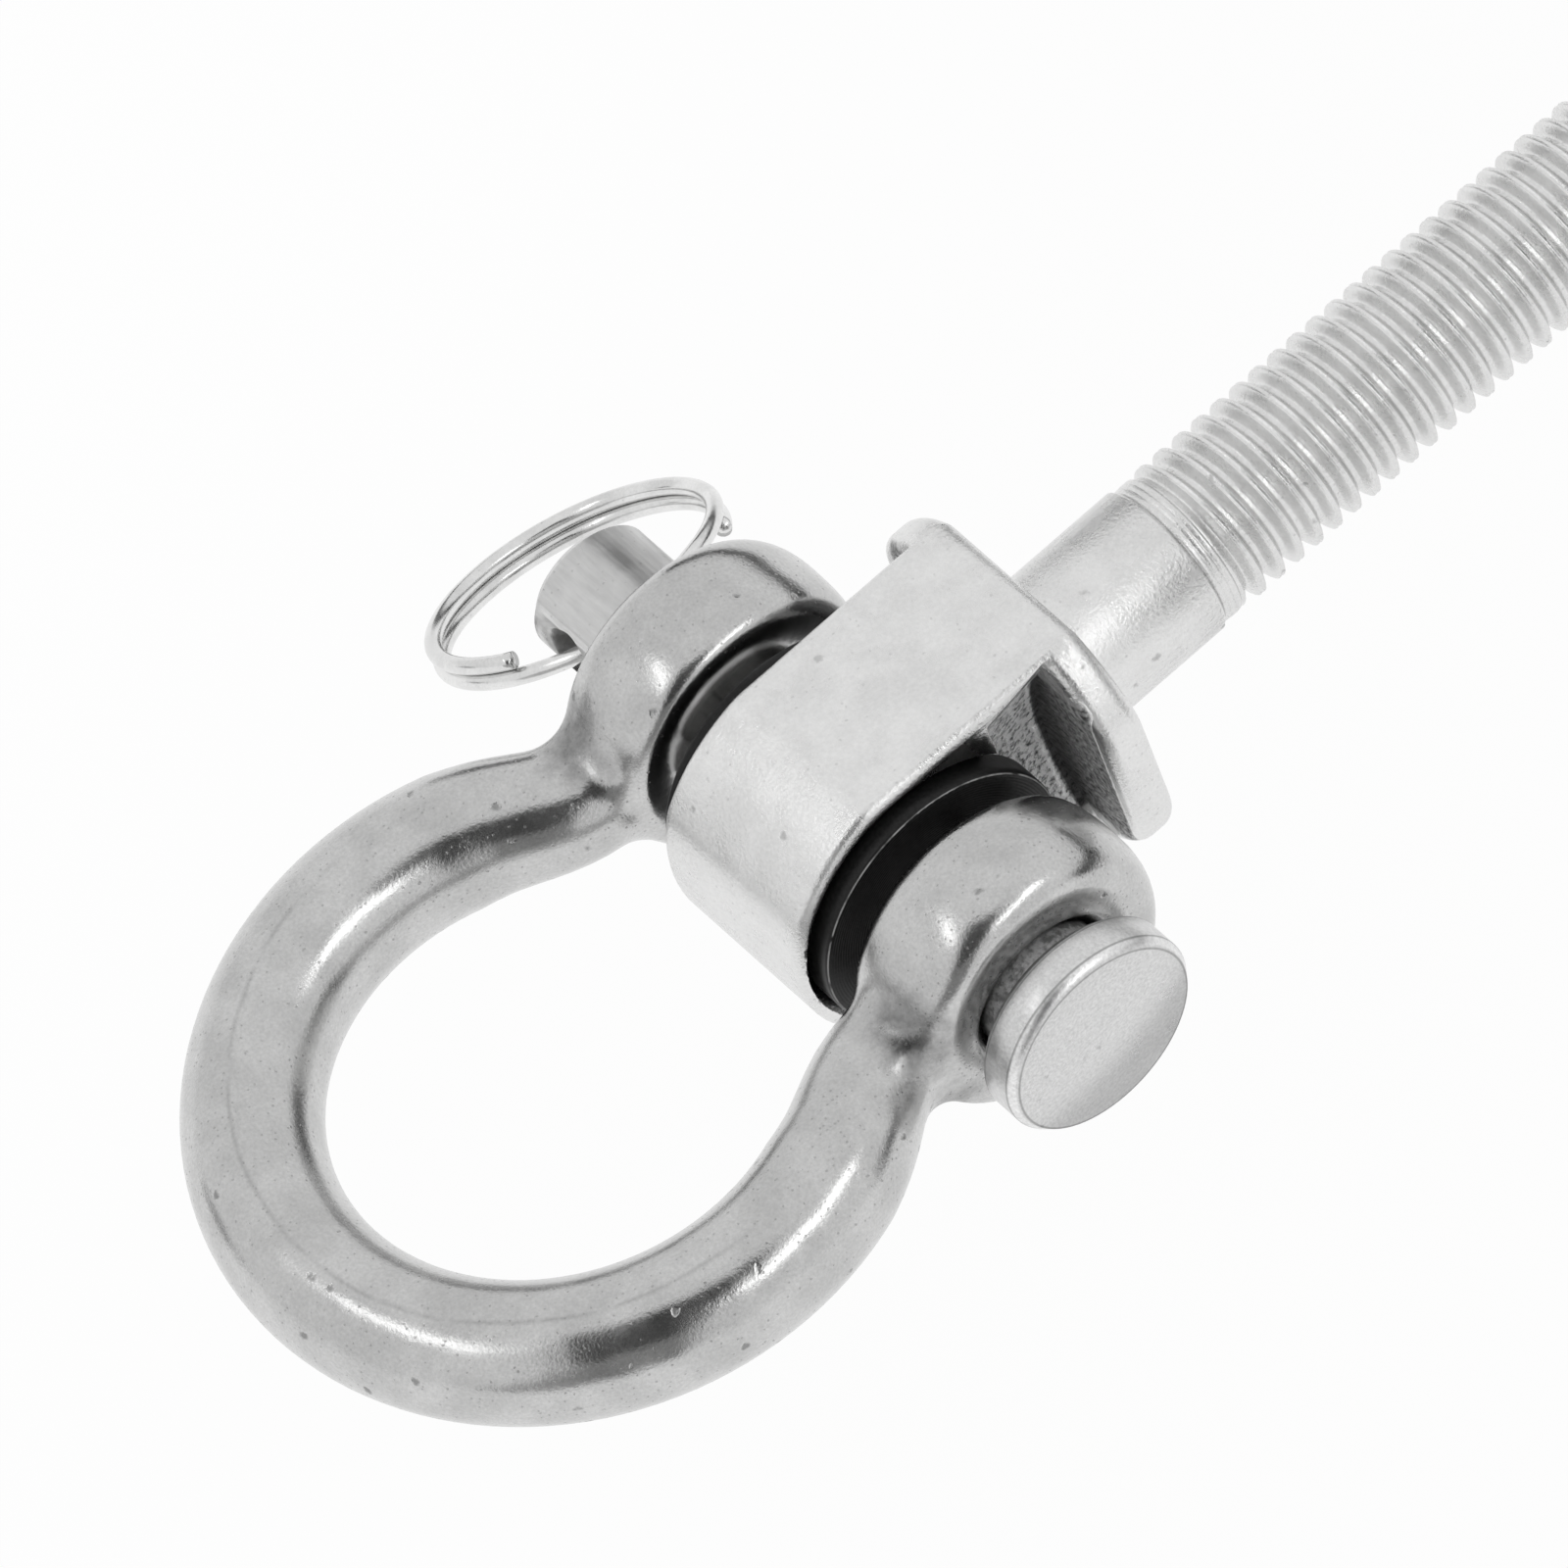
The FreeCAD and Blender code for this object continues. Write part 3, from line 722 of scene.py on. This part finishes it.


# Lights: a white room, two strip lights over the sheet, and dark cards round it that only glossy
# rays see, as painted dark reflections

worldSetup = {"fill": 0.75, "mirrored": 0.86}
lamps = [
    # tilt from straight above the sheet and turn round it from +X towards +Z, in degrees
    {"name": "keyStrip", "tilt": 48, "turn": 27, "wide": 38, "deep": 7,
     "distance": 0.7, "glow": 2.7},
    {"name": "lowStrip", "tilt": 31, "turn": -110, "wide": 30, "deep": 6,
     "distance": 0.7, "glow": 2.0},
]
cards = [
    # rows of tilt, first turn and last turn, in the same degrees
    {"name": "backCard", "distance": 0.28, "tone": 0.01, "rows": [
        (84, 50, 156), (95, 46, 156)]},
    {"name": "cornerCard", "distance": 0.26, "tone": 0.12, "rows": [
        (81, 50, 78), (95, 46, 84)]},
    {"name": "frontCard", "distance": 0.28, "tone": 0.15, "rows": [
        (89, -146, -130), (95, -146, -130)]},
    {"name": "cameraCard", "distance": 0.3, "tone": 0.07, "rows": [
        (15, -64, -50), (21, -58, 0), (27, -56, 20), (34, -54, 20), (40, -52, 2), (60, -48, -12)]},
    {"name": "standCard", "distance": 0.3, "tone": 0.28, "rows": [
        (60, -48, -12), (78, -54, -16), (92, -68, -20)]},
]


def makeWorld(setup):
    world = bpy.data.worlds.new("room")
    world.use_nodes = True
    tree = world.node_tree
    tree.nodes.clear()
    light = addNode(tree, "ShaderNodeLightPath")
    level = remap(
        tree, light.outputs["Is Glossy Ray"], 0, 1, setup["fill"], setup["mirrored"])
    fill = addNode(tree, "ShaderNodeBackground", {"Color": (1, 1, 1, 1), "Strength": level})
    white = addNode(tree, "ShaderNodeBackground", {"Color": (1, 1, 1, 1), "Strength": 1.0})
    rays = light.outputs
    seen = mathNode(tree, "MAXIMUM", rays["Is Camera Ray"], rays["Is Transmission Ray"])
    both = mixShader(tree, seen, fill, white)
    output = addNode(tree, "ShaderNodeOutputWorld")
    tree.links.new(both.outputs[0], output.inputs[0])
    scene.world = world


def skyDirection(tilt, turn):
    tilt, turn = math.radians(tilt), math.radians(turn)
    across = math.sin(tilt)
    return Vector((across * math.cos(turn), -math.cos(tilt), across * math.sin(turn)))


def makeLamp(setup):
    data = bpy.data.lights.new(setup["name"], "AREA")
    data.shape = "RECTANGLE"
    reach = 2 * setup["distance"]
    data.size = reach * math.tan(math.radians(setup["wide"] / 2))
    data.size_y = reach * math.tan(math.radians(setup["deep"] / 2))
    data.energy = setup["glow"] * math.pi * data.size * data.size_y
    lamp = bpy.data.objects.new(setup["name"], data)
    back = skyDirection(setup["tilt"], setup["turn"])
    along = Vector((0, -1, 0)).cross(back).normalized()
    place = Matrix((along, back.cross(along), back)).transposed().to_4x4()
    place.translation = skyCentre + back * setup["distance"]
    lamp.matrix_world = place
    scene.collection.objects.link(lamp)


def makeCard(setup, steps=16):
    # a dark glowing card, seen only in the metal's reflections: a painted dark reflection
    material, tree, output = newMaterial(setup["name"])
    cardMottle = noise(tree, objectPoint(tree), 40, 2.0)
    color = mixColor(tree, cardMottle, grey(setup["tone"] * 0.9), grey(setup["tone"] * 1.1))
    paintedDarkReflection = addNode(tree, "ShaderNodeEmission", {"Color": color, "Strength": 1.0})
    tree.links.new(paintedDarkReflection.outputs[0], output.inputs[0])
    corners = []
    for tilt, first, last in setup["rows"]:
        for step in range(steps + 1):
            turn = first + (last - first) * step / steps
            corners.append(skyCentre + skyDirection(tilt, turn) * setup["distance"])
    faces = []
    for row in range(len(setup["rows"]) - 1):
        for step in range(steps):
            corner = row * (steps + 1) + step
            faces.append((corner, corner + 1, corner + steps + 2, corner + steps + 1))
    mesh = bpy.data.meshes.new(setup["name"])
    mesh.from_pydata(corners, [], faces)
    mesh.materials.append(material)
    card = bpy.data.objects.new(setup["name"], mesh)
    card.visible_camera = False
    card.visible_diffuse = False
    card.visible_shadow = False
    scene.collection.objects.link(card)


makeWorld(worldSetup)
for setup in lamps:
    makeLamp(setup)
for setup in cards:
    makeCard(setup)
print("floor, lights and cards made")

scene.view_settings.view_transform = "Standard"
